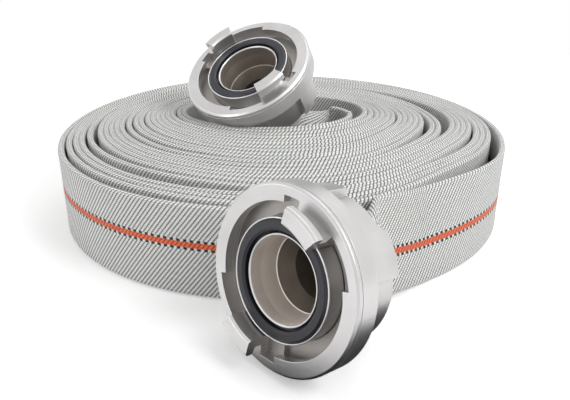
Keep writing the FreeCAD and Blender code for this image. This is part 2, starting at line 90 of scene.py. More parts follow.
# %% Camera
LOOKS_DOWN = math.radians(24.4)
LENS, SENSOR = 41.05, 36        # in millimetres
RIGHT, BACK, UP = 3 * MM, 491 * MM, 218 * MM    # from the middle of the roll's foot

camera_data = bpy.data.cameras.new("camera")
camera_data.lens = LENS
camera_data.sensor_width = SENSOR
camera = bpy.data.objects.new("camera", camera_data)
camera.location = (roll_middle.x + RIGHT, roll_middle.y - BACK, UP)
camera.rotation_euler = (math.radians(90) - LOOKS_DOWN, 0, 0)
bpy.context.scene.collection.objects.link(camera)
bpy.context.scene.camera = camera
print("camera at", [round(v, 3) for v in camera.location])

# %% [markdown]
# A material is a tree of small nodes.  One helper adds a node of any kind, so that a line of
# code reads like the sum it stands for.  Colours are written as the hex numbers of a paint
# chart, which are sRGB, and one function turns them to the linear numbers that Blender mixes.

# %% A hex colour as Blender's linear numbers, and one helper that adds a node


def linear(hex_colour):
    """'#rrggbb' as linear red, green, blue and alpha."""
    channels = [int(hex_colour[i:i + 2], 16) / 255 for i in (1, 3, 5)]
    return [c / 12.92 if c <= 0.04045 else ((c + 0.055) / 1.055) ** 2.4 for c in channels] + [1.0]


def add(tree, kind, *values, **named):
    """Add a node; values go to its inputs in order, and each may be a number or a node.

    A name in small letters is a property of the node, and any other name is an input.
    """
    node = tree.nodes.new("ShaderNode" + kind)
    for name, value in named.items():
        if name.islower():
            setattr(node, name, value)
    wanted = list(zip([socket for socket in node.inputs if socket.enabled], values))
    wanted += [(node.inputs[name.replace("_", " ")], value)
               for name, value in named.items() if not name.islower()]
    for socket, value in wanted:
        if isinstance(value, bpy.types.Node):
            value = next(made for made in value.outputs if made.enabled)
        if isinstance(value, bpy.types.NodeSocket):
            tree.links.new(value, socket)
        else:
            socket.default_value = value
    return node


def new_material(name):
    """An empty node material and its tree."""
    material = bpy.data.materials.new(name)
    material.use_nodes = True
    material.node_tree.nodes.clear()
    return material, material.node_tree


print("mid grey is", [round(c, 3) for c in linear("#808080")[:3]], "in linear numbers")

# %% World
WHITE = linear("#ffffff")
WORLD_LEVEL, WHITE_LEVEL = 0.39, 1.0


def seen_directly(tree):
    """1 for the camera and for what mirrors and glass show of the surroundings, otherwise 0."""
    path = add(tree, "LightPath")
    indirect = add(tree, "Math", path.outputs["Is Glossy Ray"],
                   path.outputs["Is Transmission Ray"], operation="MAXIMUM")
    return add(tree, "Math", path.outputs["Is Camera Ray"], indirect, operation="MAXIMUM")


world = bpy.data.worlds.new("studio")
bpy.context.scene.world = world
world.use_nodes = True
tree = world.node_tree
tree.nodes.clear()
plain = add(tree, "Background", Color=WHITE, Strength=WORLD_LEVEL)
white = add(tree, "Background", Color=WHITE, Strength=WHITE_LEVEL)
add(tree, "OutputWorld", Surface=add(tree, "MixShader", seen_directly(tree), plain, white))
print("world level", WORLD_LEVEL)

# %% Lamps
LAMPS = {
    # place, where it looks, side of its square, power in watts
    "key": ((0.85, -0.55, 0.95), (0, 0, 0), 0.6, 9.0),
    "top": ((0.25, 0.45, 1.3), (0, 0, 0), 0.8, 5.0),
    "rim": ((-1.1, 0.1, 0.5), (0, 0, 0.03), 0.4, 1.6),
    "fill": ((-0.95, -0.75, 0.30), (0, 0, 0.03), 0.5, 2.2),
}
for name, (place, target, side, power) in LAMPS.items():
    lamp_data = bpy.data.lights.new(name, "AREA")
    lamp_data.shape = "SQUARE"
    lamp_data.size = side
    lamp_data.energy = power
    lamp = bpy.data.objects.new(name, lamp_data)
    lamp.location = place
    lamp.rotation_euler = (Vector(target) - Vector(place)).to_track_quat("-Z", "Y").to_euler()
    bpy.context.scene.collection.objects.link(lamp)
bpy.context.scene.view_settings.view_transform = "Standard"
print(len(LAMPS), "lamps")

# %% [markdown]
# The floor is white studio paper.  It catches the object's shadow, and a little glow of its own
# lifts it to white for the eye without any more light on the object.  Further out, where the
# shadow has ended, the paper goes over into the white of the world, so there is no horizon.

# %% Floor
FLOOR_REACH = 3.0
FLOOR_DROP = 0.2 * MM   # clear of the object's own lowest faces
PAPER_GLOW = 0.34
SHADOW_ENDS, ALL_WHITE = 0.35, 0.8

corners = [(x * FLOOR_REACH, y * FLOOR_REACH, 0) for x, y in ((-1, -1), (1, -1), (1, 1), (-1, 1))]
floor_mesh = bpy.data.meshes.new("floor")
floor_mesh.from_pydata(corners, [], [(0, 1, 2, 3)])
floor = bpy.data.objects.new("floor", floor_mesh)
floor.location.z = -FLOOR_DROP
bpy.context.scene.collection.objects.link(floor)

material, tree = new_material("white_paper")
paper = add(tree, "BsdfDiffuse", Color=linear("#f4f4f4"))
glow = add(tree, "Emission", Color=WHITE, Strength=PAPER_GLOW)
lit = add(tree, "AddShader", paper, glow)
spot = add(tree, "TexCoord")
distance = add(tree, "VectorMath", spot.outputs["Object"], operation="LENGTH")
far = add(tree, "MapRange", distance, From_Min=SHADOW_ENDS, From_Max=ALL_WHITE)
bright = add(tree, "Emission", Color=WHITE, Strength=WHITE_LEVEL)
shown = add(tree, "MixShader", far, lit, bright)
add(tree, "OutputMaterial", Surface=add(tree, "MixShader", seen_directly(tree), paper, shown))
floor_mesh.materials.append(material)
print("floor", 2 * FLOOR_REACH, "m square")

# %% [markdown]
# ## The hose
# Flat, this hose is 61 mm wide and 3.6 mm thick.  It could be a curve with a bevel, but a folded
# tube changes shape: it is flat in the roll and round where it is pushed over a coupling's tail.
# So it is a mesh built ring by ring.  Each ring is a slice across the hose, and a slice can go
# from flat to round.  First come the sizes of the real hose.

# %% Sizes of the hose
FLAT_WIDTH = 61.2 * MM
HALF_THICK = 1.8 * MM
HALF_HEIGHT = FLAT_WIDTH / 2
ROUND_RADIUS = 20.7 * MM   # outside, where it is pushed over a tail
AROUND = 126.0 * MM        # once around the tube
TURNS = 21
SLEEVE_START = 40 * MM     # where the hose's end lies on the tail, behind the mouth
SHANK_END = 58 * MM        # where the tail ends inside it
print("flat hose", round(FLAT_WIDTH / MM, 1), "x", round(2 * HALF_THICK / MM, 1), "mm")

# %% [markdown]
# The roll is a spiral that isn't quite round: its outside is given by its radius in eight
# directions, a wave joins them, and each turn lies between that and the oval inside.
# Hand-rolled turns aren't evenly spaced: they lie tight in some places and leave crescent gaps
# in others.  Each gap is given by the turn behind which it opens, its direction seen from
# above, how wide that part of the roll is, and how large it is against the others.  Where the
# turns have room, the folded hose stands a little open, so it is thicker there.

# %% The winding as a function of the number of turns
INNER_MIDDLE = np.array((-6.5, 16.5)) * MM
INNER_HALF = np.array((69.3, 52.5)) * MM
OUTER_RADII = np.array((165.5, 157.5, 154.5, 157.5, 165.5, 168.0, 162.4, 165.0)) * MM
GAPS = [
    # turn, direction in degrees, half spread, size
    (20.50, -24.0, 26.0, 3.6),
    (17.50, -22.0, 16.0, 2.5),
    (13.45, 20.0, 27.0, 14.0),
    (11.50, -16.0, 20.0, 3.5),
    (6.50, 10.0, 30.0, 1.5),
    (2.00, 15.0, 40.0, 1.5),
    (19.92, -148.0, 35.0, 2.6),
    (18.92, -155.0, 22.0, 1.2),
    (16.92, -145.0, 45.0, 3.2),
    (15.95, -170.0, 32.0, 5.0),
    (10.95, -165.0, 30.0, 2.2),
    (9.90, -160.0, 40.0, 2.2),
    (7.90, 180.0, 35.0, 2.0),
    (2.00, 185.0, 35.0, 2.0),
]
FLAT_DIRECTION, FLAT_SPREAD, FLAT_DEPTH = -50.0, 26.0, 0.062   # pressed behind the coupling
FREE_PART = 0.4         # turns of the outer end that nothing presses flatter
OPENING = 0.16          # turns over which a gap opens
EVEN = 6.0              # how large the even room is against the gaps
TIGHT_PITCH = 3.68 * MM
MOST_TIGHT = 0.97
FULLEST = 1.45          # thickness of the loosest turns against flat
BETWEEN_TURNS = 0.25 * MM


def angle_between(a, b):
    return (a - b + 180) % 360 - 180


def outer_radius(direction):
    """The roll's radius, as one smooth wave through those measured every 45 degrees."""
    waves = np.fft.rfft(OUTER_RADII) / len(OUTER_RADII)
    total = waves[0].real
    for number in range(1, len(waves)):
        weight = 1 if number == len(waves) - 1 else 2
        turned = np.exp(1j * number * np.radians(direction))
        total = total + weight * (waves[number] * turned).real
    return total


def room_for_turns(direction):
    """From the innermost to the outermost turn, and the share of it that tight turns need."""
    around = np.radians(direction)
    way = np.array((np.cos(around), np.sin(around)))
    inner = (INNER_HALF[:, None] * way ** 2 + INNER_MIDDLE[:, None] * way).sum(0)
    grow = outer_radius(direction) - inner
    return grow, np.minimum(TIGHT_PITCH * TURNS / grow, MOST_TIGHT)


def share_of_roll(turn, direction):
    """How far out a turn lies, from 0 inside to 1 outside, with the gaps let in."""
    grow, tightest = room_for_turns(direction)
    even, extra, total = turn / TURNS, 0.0, 0.0
    for gap_turn, gap_direction, spread, amount in GAPS:
        here = amount * np.exp(-(angle_between(direction, gap_direction) / spread) ** 2)
        extra = extra + here / (1 + np.exp(-(turn - gap_turn) / OPENING))
        total = total + here
    return tightest * even + (1 - tightest) * (even * EVEN + extra) / (EVEN + total)


def winding_point(turn):
    """Middle of the band in plan after so many clockwise turns from the inner bend."""
    direction = -360.0 * turn
    share = share_of_roll(turn, direction)
    around = np.radians(direction)
    half = INNER_HALF[:, None] * (1 - share) + outer_radius(direction) * share
    flattened = FLAT_DEPTH * share * (turn < TURNS - FREE_PART)
    near = np.exp(-(angle_between(direction, FLAT_DIRECTION) / FLAT_SPREAD) ** 2)
    press = 1 - flattened * near
    centre = INNER_MIDDLE[:, None] * (1 - share)
    return centre + half * np.array((np.cos(around), np.sin(around))) * press


def fullness(turn):
    """Turns with room to spare aren't pressed flat: how much thicker than flat they are."""
    direction = -360.0 * turn
    grow, tightest = room_for_turns(direction)
    total = sum(amount * np.exp(-(angle_between(direction, gap_direction) / spread) ** 2)
                for _, gap_direction, spread, amount in GAPS)
    pitch = grow / TURNS * (tightest + (1 - tightest) * EVEN / (EVEN + total))
    return np.clip((pitch - BETWEEN_TURNS) / (2 * HALF_THICK), 1.0, FULLEST)


checks = winding_point(np.array([0.25, 1.0, 20.25, 20.5, 20.75, 21.0]))
print("winding, mm", np.round(checks.T / MM, 1).tolist())

# %% [markdown]
# Now the whole line of the hose, from the back of the centre coupling to the back of the
# outer one.  It is put together from stretches: round hose on a tail, a bend, a flare to flat,
# a tight bend where the inner end folds back, the spiral, and a flare to the outer tail.
# For each ring the line holds a point, a roundness and a lean.

# %% Helpers for the line
ROLL = np.array(roll_middle)
TAIL_RINGS, BEND_RINGS, FLARE_RINGS, HAIRPIN_RINGS, LEAVING_RINGS = 12, 16, 14, 18, 40


def smooth(x):
    x = np.clip(x, 0, 1)
    return x * x * (3 - 2 * x)


def hermite(start, start_way, end, end_way, count):
    """Points of a smooth curve between two points with given directions."""
    reach = np.linalg.norm(end - start)
    share = np.linspace(0, 1, count)[:, None]
    return (start * (2 * share ** 3 - 3 * share ** 2 + 1)
            + start_way * reach * (share ** 3 - 2 * share ** 2 + share)
            + end * (3 * share ** 2 - 2 * share ** 3)
            + end_way * reach * (share ** 3 - share ** 2))


def on_tail(mouth, out, depth):
    return np.array(mouth - out * depth)


# %% Inner end: tail, bend, flare and hairpin
BEND_RADIUS = 24 * MM
HAIRPIN_RADIUS = 20 * MM
HAIRPIN_TURN = 72.5
HAIRPIN_TIP = np.array((54.0, 6.0)) * MM
CORE_LIFT_FRONT, CORE_LIFT_BACK = 9.5 * MM, 4.5 * MM

back = -np.array(centre_out)
hairpin_middle = HAIRPIN_TIP - np.array((HAIRPIN_RADIUS, 0))
turn_angle = math.radians(HAIRPIN_TURN)
inner_way = np.array((math.sin(turn_angle), -math.cos(turn_angle), 0))
centre_lift = (CORE_LIFT_FRONT + CORE_LIFT_BACK) / 2
hairpin_start = ROLL + np.array((*(hairpin_middle + HAIRPIN_RADIUS * np.array(
    (math.cos(turn_angle), math.sin(turn_angle)))), HALF_HEIGHT + centre_lift))

tail_start = on_tail(centre_mouth, centre_out, SLEEVE_START)
tail_end = on_tail(centre_mouth, centre_out, SHANK_END)
bend_axis = np.cross(back, inner_way)
bend_axis /= np.linalg.norm(bend_axis)
bend_middle = tail_end + np.cross(bend_axis, back) * BEND_RADIUS
bend_angle = math.acos(float(back @ inner_way))
spokes = []
for angle in np.linspace(0, bend_angle, BEND_RINGS):
    turn_matrix = np.array(Matrix.Rotation(angle, 3, Vector(bend_axis)))
    spokes.append(bend_middle + turn_matrix @ (tail_end - bend_middle))
bend_points = np.array(spokes)
inner_points = np.concatenate([
    np.linspace(tail_start, tail_end, TAIL_RINGS)[:-1],
    bend_points[:-1],
    hermite(bend_points[-1], inner_way, hairpin_start, inner_way, FLARE_RINGS)[:-1],
])
inner_round = np.concatenate([np.ones(TAIL_RINGS + BEND_RINGS - 2),
                              smooth(np.linspace(1, 0, FLARE_RINGS))[:-1]])
angles = np.linspace(turn_angle, 0, HAIRPIN_RINGS)[:-1]
hairpin = np.stack([
    ROLL[0] + hairpin_middle[0] + HAIRPIN_RADIUS * np.cos(angles),
    ROLL[1] + hairpin_middle[1] + HAIRPIN_RADIUS * np.sin(angles),
    np.full(len(angles), HALF_HEIGHT + centre_lift)], axis=1)
print("inner end", len(inner_points) + len(hairpin), "rings")

# %% The roll itself
RINGS_PER_TURN = 120
LEAVE = 54.0 / 360        # turns after which the outer end leaves the roll
UNEVEN = 0.45 * MM        # hand-rolled edges don't lie in one plane
UNEVEN_WAVES = ((1.37, 1.0), (0.61, 2.2))   # waves per turn and where each starts
turns = np.linspace(0, TURNS + LEAVE, int((TURNS + LEAVE) * RINGS_PER_TURN) + 1)
plan = winding_point(turns)
join = winding_point(np.array([0.25]))[:, 0]
first_quarter = turns < 0.25
tip_centre = np.array((join[0], HAIRPIN_TIP[1]))
around = np.radians(-360 * turns[first_quarter])
plan[:, first_quarter] = np.stack([
    tip_centre[0] + (HAIRPIN_TIP[0] - tip_centre[0]) * np.cos(around),
    tip_centre[1] + (tip_centre[1] - join[1]) * np.sin(around)])
direction = np.radians(-360 * turns)
share = np.clip(turns / TURNS, 0, 1)
lift_swing = (CORE_LIFT_FRONT - CORE_LIFT_BACK) / 2
lift = (1 - share) * (centre_lift - lift_swing * np.sin(direction))
unevenness = UNEVEN * sum(np.sin(direction * often + start) for often, start in UNEVEN_WAVES)
height = HALF_HEIGHT + lift + np.abs(unevenness)
roll_points = np.stack([ROLL[0] + plan[0], ROLL[1] + plan[1], height], axis=1)
print("roll", len(roll_points), "rings")

# %% Outer end: from the roll to the front tail
FLARE_RUN = 24 * MM
LEAN = math.radians(12.5)
LEAN_RUN = 90 * MM
way = roll_points[-1] - roll_points[-3]
way /= np.linalg.norm(way)
front_end = on_tail(front_mouth, front_out, SHANK_END)
last_point = on_tail(front_mouth, front_out, SLEEVE_START)
outer_curve = hermite(roll_points[-1], way, front_end, np.array(front_out), LEAVING_RINGS)[1:]
outer_points = np.concatenate([outer_curve, np.linspace(front_end, last_point, TAIL_RINGS)[1:]])

line = np.concatenate([inner_points, hairpin, roll_points, outer_points])
steps = np.linalg.norm(np.diff(line, axis=0), axis=1)
along_hose = np.concatenate([[0], np.cumsum(steps)])
to_tail = np.linalg.norm(outer_points - front_end, axis=1)
outer_round = 1 - smooth(to_tail / FLARE_RUN)
outer_round[len(outer_curve):] = 1
roundness = np.concatenate([inner_round, np.zeros(len(hairpin) + len(roll_points)), outer_round])
lean_to = along_hose[-len(outer_points)]
lean = LEAN * smooth((along_hose - lean_to + LEAN_RUN) / LEAN_RUN) * (1 - roundness)
print("hose", round(along_hose[-1], 3), "m,", len(line), "rings")

# %% [markdown]
# A slice across the flat hose is two straight walls joined by two tight folds.  The folds are
# a little fuller than the walls, because cloth and rubber can't fold dead flat.  The same
# number of points goes around the round hose, so the two shapes can be mixed.

# %% A slice across the hose, flat and round
FOLD_POINTS, WALL_POINTS = 5, 6        # in each fold and on each wall
FOLD_FULLER, FOLD_SHARPNESS = 0.12, 10


def flat_slice(share):
    """Across and up for a place around the flat hose; 0 and 1 are the lower fold."""
    straight = FLAT_WIDTH - 2 * HALF_THICK
    total = 2 * straight + 2 * math.pi * HALF_THICK
    arc = math.pi * HALF_THICK
    place = (share % 1) * total
    if place < arc / 2 or place >= total - arc / 2:
        turn = (place if place < arc / 2 else place - total) / HALF_THICK
        return HALF_THICK * math.sin(turn), -straight / 2 - HALF_THICK * math.cos(turn)
    if place < arc / 2 + straight:
        return HALF_THICK, place - arc / 2 - straight / 2
    if place < 1.5 * arc + straight:
        turn = (place - arc / 2 - straight) / HALF_THICK
        return HALF_THICK * math.cos(turn), straight / 2 + HALF_THICK * math.sin(turn)
    return -HALF_THICK, straight / 2 - (place - 1.5 * arc - straight)


fold_length = math.pi * HALF_THICK
fold_share = fold_length / (2 * (FLAT_WIDTH - 2 * HALF_THICK) + 2 * fold_length)
fold = np.linspace(-fold_share / 2, fold_share / 2, FOLD_POINTS + 1)[:-1]
wall = np.linspace(fold_share / 2, 0.5 - fold_share / 2, WALL_POINTS + 1)[:-1]
places = np.concatenate([fold, wall, fold + 0.5, wall + 0.5])
flat = np.array([flat_slice(place) for place in places])
fuller = 1 + FOLD_FULLER * np.abs(flat[:, 1] / HALF_HEIGHT) ** FOLD_SHARPNESS
flat[:, 0] *= fuller
circle = ROUND_RADIUS * np.stack([np.sin(2 * np.pi * places), -np.cos(2 * np.pi * places)], 1)
print(len(places), "points around")

# %% Every ring of the hose, turned to its place on the line
SETTLE = 61   # rings over which a change of thickness settles
ways = np.gradient(line, axis=0)
ways /= np.linalg.norm(ways, axis=1)[:, None]
up = np.array((0.0, 0.0, 1.0))
outward = np.cross(up, ways)
outward /= np.linalg.norm(outward, axis=1)[:, None]
upward = np.cross(ways, outward)
leaned_up = upward * np.cos(lean)[:, None] - outward * np.sin(lean)[:, None]
leaned_out = outward * np.cos(lean)[:, None] + upward * np.sin(lean)[:, None]
mixed = flat[None] * (1 - roundness[:, None, None]) + circle[None] * roundness[:, None, None]
# The outer end leans about its lower edge, which stays where it stands.
foot = leaned_up * HALF_HEIGHT - up * HALF_HEIGHT
line = line + foot * (lean > 0)[:, None]
full = np.ones(len(line))
first_in_roll = len(inner_points) + len(hairpin)
full[first_in_roll:first_in_roll + len(turns)] = fullness(turns)
padded = np.pad(full, SETTLE // 2, mode="edge")
full = np.convolve(padded, np.ones(SETTLE) / SETTLE, mode="valid")
mixed[:, :, 0] *= (full * (1 - roundness) + roundness)[:, None]
rings = (line[:, None] + leaned_out[:, None] * mixed[:, :, :1]
         + leaned_up[:, None] * mixed[:, :, 1:])
print("thickest turn", round(float(full.max()), 2), "times flat")

# %% [markdown]
# The mesh gets two maps.  One is in metres along and around the hose, and the weave is drawn on
# it at its true size.  The other lays the hose in strips in one square, for baking.  The tube
# twists a little as it is rolled, so its stripes wander up and down: the first map is shifted by
# a slow wave.

# %% The hose as one mesh


def tube(name, rings):
    """A mesh through the rings, open at both ends."""
    count, points = rings.shape[:2]
    here = np.arange(points)
    ahead = (here + 1) % points
    base = (np.arange(count - 1) * points)[:, None]
    quads = np.stack([base + here, base + points + here, base + points + ahead, base + ahead], 2)
    mesh = bpy.data.meshes.new(name)
    mesh.from_pydata(rings.reshape(-1, 3).tolist(), [], quads.reshape(-1, 4).tolist())
    mesh.polygons.foreach_set("use_smooth", np.ones(len(mesh.polygons), bool))
    hose = bpy.data.objects.new(name, mesh)
    bpy.context.scene.collection.objects.link(hose)
    return hose


jacket = tube("woven_jacket", rings)
print("jacket", len(jacket.data.polygons), "faces")

# %% Its map in metres
WANDER = 4.6 * MM       # how far the stripes wander
WANDER_RUN = 1.56       # metres of hose in one wave
WANDER_START = 0.56     # metres from the outer end

count, points = rings.shape[:2]
place_around = np.concatenate([places, [places[0] + 1]]) * AROUND
ring_index, slice_index = np.divmod(np.arange((count - 1) * points), points)
u = np.stack([along_hose[ring_index], along_hose[ring_index + 1],
              along_hose[ring_index + 1], along_hose[ring_index]], 1)
v = np.stack([place_around[slice_index], place_around[slice_index],
              place_around[slice_index + 1], place_around[slice_index + 1]], 1)
cloth_map = jacket.data.uv_layers.new(name="cloth")
wander = WANDER * np.sin(2 * np.pi * (along_hose[-1] - u - WANDER_START) / WANDER_RUN)
cloth_map.data.foreach_set("uv", np.stack([u, v - wander], 2).ravel())
print("the stripes wander", round(WANDER / MM, 1), "mm to each side")

# %% Its map for baking: strips side by side in a square
STRIP_COUNT = 11
STRIP_HEIGHT = 132 * MM
STRIP_MARGIN, END_MARGIN = 4 * MM, 20 * MM
strip_length = along_hose[-1] / STRIP_COUNT
strip = np.minimum(along_hose[ring_index] // strip_length, STRIP_COUNT - 1)[:, None]
square = max(strip_length + END_MARGIN, STRIP_COUNT * STRIP_HEIGHT)
baked = np.stack([(u - strip * strip_length) / square,
                  (v + STRIP_MARGIN + strip * STRIP_HEIGHT) / square], 2)
bake_map = jacket.data.uv_layers.new(name="OFBake")
bake_map.data.foreach_set("uv", baked.ravel())
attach(jacket, "hose")
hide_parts("hose_jacket", "hose_lining")
print("bake square", round(square, 2), "m")

# %% [markdown]
# ## Woven polyester
# The jacket is a circular woven twill of filament polyester yarn, loomed white and left
# undyed.  Each float of yarn shows as a small bead, and each row of beads starts over a third of
# a repeat further on than the one below, so the beads line up in slanting ridges with dark
# furrows between.  The real repeat is about 2.2 mm along the hose; it is drawn 2.8 mm long and
# 1.4 mm high, so that it shows.  Two stripes run along it: orange yarns between black tracer
# yarns that surface every 4.3 mm.  It could be a picture that repeats, but sums on the map in
# metres stay sharp at any distance.

# %% The jacket's cloth
REPEAT, ROW = 2.8 * MM, 1.4 * MM
SLANT = 0.38            # repeats by which a row starts further on
SLANT_IN_ROW = 0.6      # share of that which is a slope within the row
FURROW, NOTCH = 2.2, 3.0        # how sharp the furrows and the notches between beads are
NOTCH_DEPTH = 0.45
DARK_CUT, GAIN = 0.12, 1.45     # the furrows lie in full shade, the beads in full light
YARN_SCALE, STAIN_SCALE = 420.0, 9.0   # per metre: single yarns, and handling marks
SLACKEST, TIGHTER = 0.72, 0.5   # light on the slackest yarn, and how much more on a tight one
BEAD_RISE = 0.55 * MM
STRIPE_HALF, TRACER = 1.8 * MM, 1.6 * MM
DASH, DASH_SHARE = 4.3 * MM, 0.55
RAISED_WHITE = 0.8      # light on the white yarns between the black ones
HANDLED = 0.16          # how far the handling marks take the white down


def woven_polyester():
    material, tree = new_material("woven_polyester")
    where = add(tree, "UVMap", uv_map="cloth")
    parts = add(tree, "SeparateXYZ", where)
    along, around = parts.outputs["X"], parts.outputs["Y"]

    # one row of floats, its number and the place across it
    row = add(tree, "Math", around, ROW, operation="DIVIDE")
    row_number = add(tree, "Math", row, operation="FLOOR")
    in_row = add(tree, "Math", row, row_number, operation="SUBTRACT")
    across = add(tree, "Math", in_row, 0.5, operation="SUBTRACT")

    # the ridge shifts from row to row, and slopes within a row
    slope = add(tree, "Math", across, SLANT_IN_ROW, operation="MULTIPLY")
    shifted = add(tree, "Math", row_number, slope, operation="ADD")
    shift = add(tree, "Math", shifted, SLANT, operation="MULTIPLY")
    repeats = add(tree, "Math", along, REPEAT, operation="DIVIDE")
    column = add(tree, "Math", repeats, shift, operation="ADD")
    in_column = add(tree, "Math", column, operation="FRACT")
    off_ridge = add(tree, "Math", in_column, 0.5, operation="SUBTRACT")
    off_ridge = add(tree, "Math", off_ridge, operation="ABSOLUTE")
    from_ridge = add(tree, "Math", off_ridge, 2.0, operation="MULTIPLY")
    furrow = add(tree, "Math", from_ridge, FURROW, operation="POWER")
    ridge = add(tree, "Math", 1.0, furrow, operation="SUBTRACT")

    # notches part the ridge into beads
    off_row = add(tree, "Math", across, operation="ABSOLUTE")
    from_row = add(tree, "Math", off_row, 2.0, operation="MULTIPLY")
    notch = add(tree, "Math", from_row, NOTCH, operation="POWER")
    notch = add(tree, "Math", notch, NOTCH_DEPTH, operation="MULTIPLY")
    left = add(tree, "Math", 1.0, notch, operation="SUBTRACT")
    bead = add(tree, "Math", ridge, left, operation="MULTIPLY")

    # yarns differ a little in tension, and the hose has been handled
    yarn = add(tree, "TexNoise", Vector=where, Scale=YARN_SCALE, Detail=2.0)
    stain = add(tree, "TexNoise", Vector=where, Scale=STAIN_SCALE, Detail=3.0)
    tension = add(tree, "Math", yarn, TIGHTER, operation="MULTIPLY")
    tension = add(tree, "Math", SLACKEST, tension, operation="ADD")
    # the bead's height becomes painted shade: furrows dark, bead tops light, varied at random by
    # the yarns
    shade = add(tree, "Math", bead, tension, operation="MULTIPLY")
    shade = add(tree, "Math", shade, DARK_CUT, operation="SUBTRACT")
    shade = add(tree, "Math", shade, 0.0, operation="MAXIMUM")
    shade = add(tree, "Math", shade, GAIN, operation="MULTIPLY")
    shade = add(tree, "Math", shade, 1.0, operation="MINIMUM")

    # a stripe runs along the middle of each wall
    folded = add(tree, "Math", around, AROUND / 2, operation="PINGPONG")
    from_stripe = add(tree, "Math", folded, AROUND / 4, operation="SUBTRACT")
    from_stripe = add(tree, "Math", from_stripe, operation="ABSOLUTE")
    in_stripe = add(tree, "Math", from_stripe, STRIPE_HALF, operation="LESS_THAN")
    past_stripe = add(tree, "Math", from_stripe, STRIPE_HALF, operation="GREATER_THAN")
    before_end = add(tree, "Math", from_stripe, STRIPE_HALF + TRACER, operation="LESS_THAN")
    in_tracer = add(tree, "Math", past_stripe, before_end, operation="MULTIPLY")

    # black tracer yarns come up for about half of each dash; between them white ones stay up
    dashes = add(tree, "Math", along, DASH, operation="DIVIDE")
    in_dash = add(tree, "Math", dashes, operation="FRACT")
    dash = add(tree, "Math", in_dash, DASH_SHARE, operation="LESS_THAN")
    black = add(tree, "Math", in_tracer, dash, operation="MULTIPLY")
    raised = add(tree, "Math", in_tracer, RAISED_WHITE, operation="MULTIPLY")
    shade = add(tree, "Math", shade, raised, operation="MAXIMUM")

    # painted shade: the furrows of the white and of the orange are painted dark, on top of the
    # bump
    white_with_painted_shade = add(tree, "Mix", shade, linear("#303336"), linear("#fafaf8"), data_type="RGBA")
    marked = add(tree, "Math", stain, HANDLED, operation="MULTIPLY")
    white = add(tree, "Mix", marked, white_with_painted_shade, linear("#a9a79c"), data_type="RGBA")
    orange = add(tree, "Mix", shade, linear("#a23414"), linear("#fa7544"), data_type="RGBA")
    striped = add(tree, "Mix", in_stripe, white, orange, data_type="RGBA")
    colour = add(tree, "Mix", black, striped, linear("#0a0a0b"), data_type="RGBA")
    bump = add(tree, "Bump", Strength=1.0, Distance=BEAD_RISE, Height=bead)
    cloth = add(tree, "BsdfPrincipled", Base_Color=colour, Roughness=0.6, Normal=bump,
                Specular_IOR_Level=0.4, Sheen_Weight=0.15)
    add(tree, "OutputMaterial", Surface=cloth)
    return material


jacket.data.materials.append(woven_polyester())
print("cloth repeats", round(REPEAT / MM, 1), "mm along,", round(ROW / MM, 1), "mm around")

# %% [markdown]
# ## Forged and turned aluminium
# The lug rings and the tails are hot-forged aluminium-silicon alloy.  Faces that fit another
# coupling are turned bright on a lathe, which leaves fine rings around the axis; the rest keeps
# the dull, slightly grainy skin of the forging; corners get a painted highlight.  A lathe mark
# runs around the coupling's own axis, so each coupling gets its own material that measures depth
# along that axis and distance from it.

# %% Places on a coupling, for its materials


def on_coupling(tree, side):
    """The place, its depth behind the coupling's mouth and its distance from the axis."""
    mouth, out = (front_mouth, front_out) if side == "front" else (centre_mouth, centre_out)
    spot = add(tree, "TexCoord").outputs["Object"]
    away = add(tree, "VectorMath", spot, mouth, operation="SUBTRACT")
    ahead = add(tree, "VectorMath", away, out, operation="DOT_PRODUCT")
    along = add(tree, "VectorMath", out, operation="SCALE", Scale=ahead)
    across = add(tree, "VectorMath", away, along, operation="SUBTRACT")
    radius = add(tree, "VectorMath", across, operation="LENGTH")
    depth = add(tree, "Math", ahead, -1.0, operation="MULTIPLY")
    return spot, depth, radius


# %% The two aluminium finishes and where each one lies
SCRATCH = 0.7 * MM      # lathe marks are finer; this is as coarse as the eye needs from here
CLOUD_SCALE, GRAIN_SCALE = 38.0, 1500.0     # per metre: uneven tone, and the forging's grain
EDGE = 0.45 * MM        # rounded corners, and the band of painted highlight along them
CORNER_STARTS, CORNER_FULL = 0.995, 0.85    # how alike the rounded normal and the face's are
GROOVES, GRAIN_TURNED, RELIEF = 0.5, 0.2, 0.05 * MM
SMOOTHEST, MARKS_ROUGHER, SKIN_ROUGHER = 0.24, 0.28, 0.24
TURNED_DARK, TURNED_LIGHT, PAINTED_EDGE_HIGHLIGHT = "#b9b7b6", "#d9d8d8", "#efefef"


